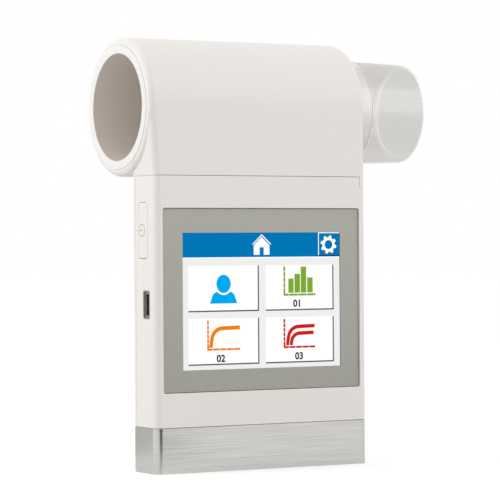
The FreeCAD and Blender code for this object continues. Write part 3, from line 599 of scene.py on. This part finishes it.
# Header: a house under a roof line, with its door left in the header's blue.
home_side = 0.0029
home_low = 0.0682
home_eaves = 0.0712
home_peak = 0.0739
door_side = 0.00075
door_high = 0.0706
home = bmesh.new()
home_walls = [home.verts.new((x, z, 0)) for x, z in (
    (-home_side, home_low), (home_side, home_low), (home_side, home_eaves), (0, home_peak), (-home_side, home_eaves),
)]
home.faces.new(home_walls)
roof_start = Vector((-0.0033, 0.0715))
roof_pitch = math.atan2(0.0031, 0.0034)
roof_length = 0.00435
roof_width = 0.00034
ridge_radius = 0.0002
ridge_steps = 4
edge = start_stroke(home, roof_start, roof_pitch, roof_width)
edge = run_stroke(home, edge, roof_length)
ridge = roof_start + Vector((math.cos(roof_pitch), math.sin(roof_pitch))) * roof_length
ridge_centre = ridge + Vector((math.sin(roof_pitch), -math.cos(roof_pitch))) * ridge_radius
edge = bend_stroke(home, edge, ridge_centre, -2 * roof_pitch, ridge_steps)
run_stroke(home, edge, roof_length)
show(home, "picture_home", lit_white, 1)
door = bmesh.new()
bar(door, -door_side, door_side, home_low, door_high)
show(door, "picture_home_door", lit_blue, 2)

# Header: a gear with eight teeth in a thin box at the right end.
gear_x = 0.0250
gear_z = 0.07135
gear_width = 0.006
gear_root = 0.78
hub_width = 0.0029
box_left = 0.0211
box_low = 0.0677
box_line = 0.00028
box_dark_line = 0.0004
gear = bmesh.new()
oval(gear, 0, 0, gear_width, gear_width, 48)
gear.verts.ensure_lookup_table()
for number, vert in enumerate(gear.verts):
    if number % 6 < 3:
        vert.co *= gear_root
bmesh.ops.translate(gear, verts=gear.verts, vec=(gear_x, gear_z, 0))
show(gear, "picture_gear", lit_white, 2)
hub = bmesh.new()
oval(hub, gear_x, gear_z, hub_width, hub_width)
show(hub, "picture_gear_hub", lit_blue, 3)
gear_box = bmesh.new()
bar(gear_box, box_left, box_left + box_line, box_low, window_high)
bar(gear_box, box_left + box_line, window_right, window_high - box_line, window_high)
show(gear_box, "picture_gear_box_light", lit_white, 1)
gear_box = bmesh.new()
bar(gear_box, box_left, window_right, header_low, header_low + box_dark_line)
show(gear_box, "picture_gear_box_dark", lit_black, 2)


# Display module: a pressed steel tray with the glass cell and a light guide behind it.
# Foam keeps dust from the picture, and an amber film ribbon takes the signals to the board.
# The tray and the ribbon shine in long streaks from rolling, the cell is smooth and the foam is dull and porous.

tray_steel = textured("pressed_steel_sheet", "#A8A8A4", "#B4B4B0", 0.0003, 0.000004, (0.3, 0.42), metallic=1.0,
                      stretch=(0.05, 1, 1))
cell_glass = textured("lit_display_cell", "#C9CDD2", "#D6DADF", dot_pitch, 0.000001, (0.08, 0.14))
light_guide = textured("white_light_guide", "#E4E4E0", "#F0F0EC", 0.0008, 0.000004, (0.2, 0.3))
foam = textured("closed_cell_foam", "#1E1E1E", "#2E2E2E", 0.0005, 0.00012, (0.8, 0.95), detail=5.0)
ribbon_film = textured("amber_polyimide_film", "#9C5A1E", "#C07A2C", 0.0006, 0.000006, (0.22, 0.34),
                       stretch=(0.03, 1, 1))
connector_black = textured("black_moulded_nylon", "#141414", "#1E1E1E", 0.0003, 0.00001, (0.42, 0.55))
dress(tray_steel, "lcd_frame")
dress(cell_glass, "lcd_glass")
dress(light_guide, "backlight")
dress(foam, "panel_tape", "screen_gasket", "lcd_pads", "battery_pad")
dress(ribbon_film, "display_flex")
dress(connector_black, "flex_connector")


# Circuit board: green lacquer over woven glass, with black moulded chips, the pressure sensor and a buzzer.
# The weave shows faintly through the glossy lacquer, the mouldings are satin, and the hoses are milky silicone.
# Small plated steel screws hold the board, the covers and the band.

weave_pitch = 0.0006
board_lacquer = textured("green_solder_lacquer", "#123F22", "#1A5630", weave_pitch, 0.00001, (0.25, 0.38))
tree = board_lacquer.node_tree
place = add_node(tree, "ShaderNodeTexCoord")
weave = add_node(tree, "ShaderNodeTexChecker", {"Vector": place.outputs["Object"]}, Scale=1 / weave_pitch,
                 Color1=linear("#15472A"), Color2=linear("#1B5732"))
tree.links.new(weave.outputs["Color"], tree.nodes["Principled BSDF"].inputs["Base Color"])
chip_epoxy = textured("black_epoxy_moulding", "#161616", "#202020", 0.0002, 0.000012, (0.5, 0.65))
sensor_shell = textured("pale_sensor_moulding", "#C4C4BC", "#D0D0C8", 0.0004, 0.00001, (0.4, 0.5))
hose_silicone = textured("milky_silicone", "#C8CCCA", "#D8DCDA", 0.001, 0.00001, (0.35, 0.5))
hose_silicone.node_tree.nodes["Principled BSDF"].inputs["Transmission Weight"].default_value = 0.3
buzzer_plastic = textured("black_buzzer_moulding", "#181818", "#222222", 0.0004, 0.00001, (0.35, 0.48))
screw_steel = textured("plated_steel_screw", "#8C8C88", "#A4A4A0", 0.00025, 0.00001, (0.25, 0.4), metallic=1.0)
dress(board_lacquer, "main_board")
dress(chip_epoxy, "board_chips")
dress(sensor_shell, "pressure_sensor")
dress(hose_silicone, "sensor_hoses")
dress(buzzer_plastic, "buzzer")
dress(screw_steel, "board_screws", "cover_screws", "band_screws")


# Battery: a flat pouch cell in crinkled aluminium foil, stuck to the rear cover.
# Two red insulated wires run to a natural nylon connector.

foil_crinkle = 0.003
cell_foil = textured("pouch_cell_foil", "#A6A6A4", "#BCBCBA", foil_crinkle, 0.00005, (0.3, 0.5), metallic=1.0)
wire_red = textured("red_wire_insulation", "#7A1512", "#8E1C18", 0.0005, 0.000006, (0.35, 0.5))
natural_nylon = textured("natural_nylon", "#DAD4C2", "#E4DECC", 0.0005, 0.00001, (0.4, 0.55))
dress(cell_foil, "battery")
dress(wire_red, "battery_leads")
dress(natural_nylon, "battery_connector")


# USB socket: a drawn and plated steel shell on the edge of the board, behind a cut-out in the left wall.
# A black tongue stands in it, and a frame pressed into the cut-out surrounds it, coloured dark grey as a painted
# shade for the shadowed cut-out.

socket_steel = textured("plated_socket_steel", "#C4C4C2", "#D8D8D6", 0.0002, 0.000005, (0.22, 0.35), metallic=1.0)
tongue_nylon = textured("black_contact_tongue", "#0C0C0C", "#141414", 0.0003, 0.00001, (0.4, 0.5))
port_frame_shade = textured("port_frame_painted_shade", "#8A847E", "#948E88", 0.0003, 0.00001, (0.45, 0.55))
dress(socket_steel, "usb_shell")
dress(tongue_nylon, "usb_tongue")
dress(port_frame_shade, "usb_surround")


# Switch behind the button, and the brass inserts that take the cover screws.
# The inserts are knurled, so they hold in the plastic bosses.

knurl_pitch = 0.0005
switch_black = textured("black_switch_moulding", "#181818", "#242424", 0.0003, 0.00001, (0.4, 0.5))
plunger_grey = textured("grey_plunger_moulding", "#3A3A3A", "#484848", 0.0003, 0.00001, (0.4, 0.5))
insert_brass = textured("knurled_brass", "#A07C36", "#BE9648", knurl_pitch, 0.00008, (0.25, 0.4), metallic=1.0)
dress(switch_black, "switch_body")
dress(plunger_grey, "switch_plunger")
dress(insert_brass, "thread_inserts")


# Flow head: a white tube that slides out to the left for cleaning, in a sleeve fixed in the housing.
# Rubber rings seal it, and a block of fine channels in it, held by a ring, gives the flow its small pressure drop.

tube_low, tube_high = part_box("flow_tube")
flow_y = (tube_low[1] + tube_high[1]) / 2
flow_z = (tube_low[2] + tube_high[2]) / 2
bore_radius = 0.0172
bore_edge = 0.0001
spigot_side = 0.01
tube_plastic = textured("smooth_white_moulding", "#F4F3F1", "#F9F8F6", 0.0012, 0.000006, (0.3, 0.4))
tree = tube_plastic.node_tree
tube_place = object_place(tube_plastic)["X"]
place = add_node(tree, "ShaderNodeTexCoord")
across = add_node(tree, "ShaderNodeMapping", {"Vector": place.outputs["Object"]}, Location=(0, -flow_y, -flow_z),
                  Scale=(0, 1, 1))
radius = add_node(tree, "ShaderNodeVectorMath", {0: across.outputs[0]}, operation="LENGTH").outputs["Value"]
bore_shade_mask = add_node(tree, "ShaderNodeMath", {0: radius, 1: tube_place}, operation="MAXIMUM").outputs[0]
# The bore is painted a little warmer and darker than the outside, a painted shade for its dim inside, and the left
# end is painted a little greyer than the spigot, a painted shade that leaves the spigot lighter.
tint_over(tube_plastic, bore_shade_mask, bore_radius, bore_radius + bore_edge, "#F4ECE7", "#FFFFFF")
tint_over(tube_plastic, tube_place, 0.0, spigot_side, "#F3F3F2", "#FFFFFF")
sleeve_plastic = textured("sleeve_moulding", "#C4C2BC", "#CCCAC4", 0.0008, 0.00001, (0.4, 0.5))
element_plastic = textured("thin_wall_moulding", "#CCCAC4", "#D6D4CE", 0.0006, 0.00001, (0.42, 0.55))
seal_rubber = textured("black_nitrile_rubber", "#141414", "#1C1C1C", 0.0004, 0.00001, (0.45, 0.6))
dress(tube_plastic, "flow_tube", "element_retainer")
dress(sleeve_plastic, "flow_sleeve")
dress(element_plastic, "flow_element")
dress(seal_rubber, "tube_seals")


# Mouthpiece adapter: a tapered collar of clear polycarbonate, pushed over the flow tube's spigot.
# Its free part is faintly smoked, and the spigot and the far rim of its mouth show through.
# The rim of the mouth is polished less than the walls, and a faint painted glow on it stands in for the light it
# catches: a painted highlight.

rim_width = 0.00045
rim_haze = 0.73
rim_painted_glow = 0.55
wall_haze = 0.12
upper_painted_reflection = (flow_z + 0.007, flow_z + 0.012)
lower_painted_reflection = (flow_z - 0.0022, flow_z - 0.0018)
foot_painted_shade = (flow_z - 0.0165, flow_z - 0.0145)

clear_collar = textured("clear_polycarbonate", "#F6F5F3", "#F9F8F6", 0.0009, 0.000002, (0.1, 0.13))
collar_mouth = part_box("mouthpiece_adapter")[1][0]
tree = clear_collar.node_tree
collar_shader = tree.nodes["Principled BSDF"]
collar_shader.inputs["IOR"].default_value = 1.49
collar_shader.inputs["Specular IOR Level"].default_value = 0.12
collar_place = object_place(clear_collar)
rays = add_node(tree, "ShaderNodeLightPath").outputs
first_wall = rays["Is Camera Ray"]

# The rim and the wall nearest the eye are a little hazy, and only the rim has a faint painted glow, a painted
# highlight.
rim = add_node(tree, "ShaderNodeMath", {0: collar_place["X"], 1: collar_mouth - 0.6 * rim_width, 2: rim_width / 2},
               operation="COMPARE").outputs[0]
wall = add_node(tree, "ShaderNodeMath", {0: first_wall, 1: -wall_haze, 2: 1.0}, operation="MULTIPLY_ADD").outputs[0]
clear = add_node(tree, "ShaderNodeMath", {0: rim, 1: -rim_haze, 2: wall}, operation="MULTIPLY_ADD").outputs[0]
tree.links.new(clear, collar_shader.inputs["Transmission Weight"])
glow = add_node(tree, "ShaderNodeMath", {0: rim, 1: rim_painted_glow}, operation="MULTIPLY").outputs[0]
tree.links.new(glow, collar_shader.inputs["Emission Strength"])

# The smoke lies on the first wall beyond the spigot and spares the rim.
free = add_node(tree, "ShaderNodeMath", {0: collar_place["X"], 1: tube_high[0]}, operation="GREATER_THAN").outputs[0]
smoked = add_node(tree, "ShaderNodeMath", {0: free, 1: first_wall}, operation="MULTIPLY").outputs[0]
smoke = add_node(tree, "ShaderNodeMath", {0: smoked, 1: rim}, operation="SUBTRACT").outputs[0]
tint_over(clear_collar, smoke, 0.0, 1.0, "#FFFFFF", "#C0BEBC")

# The first wall is painted a little greyer near the top and in its lower half than in the middle, painted reflections
# of the studio's light and dark zones, and painted darker at its foot, a painted shade.
upper = add_node(tree, "ShaderNodeMath", {0: collar_place["Z"], 1: first_wall}, operation="MULTIPLY").outputs[0]
beyond = add_node(tree, "ShaderNodeMath", {0: 1.0, 1: first_wall}, operation="SUBTRACT").outputs[0]
lower = add_node(tree, "ShaderNodeMath", {0: collar_place["Z"], 1: beyond}, operation="ADD").outputs[0]
tint_over(clear_collar, upper, *upper_painted_reflection, "#FFFFFF", "#F2F2F1")
tint_over(clear_collar, lower, *lower_painted_reflection, "#F5F6F6", "#FFFFFF")
tint_over(clear_collar, lower, *foot_painted_shade, "#CFCFCC", "#FFFFFF")

# The lamps reach the spigot through the clear wall.
passed = add_node(tree, "ShaderNodeBsdfTransparent", Color=linear("#F4F3F1"))
surface = add_node(tree, "ShaderNodeMixShader", {"Fac": rays["Is Shadow Ray"], 1: collar_shader.outputs[0],
                                                 2: passed.outputs[0]})
tree.links.new(surface.outputs[0], tree.nodes["Material Output"].inputs["Surface"])
dress(clear_collar, "mouthpiece_adapter")
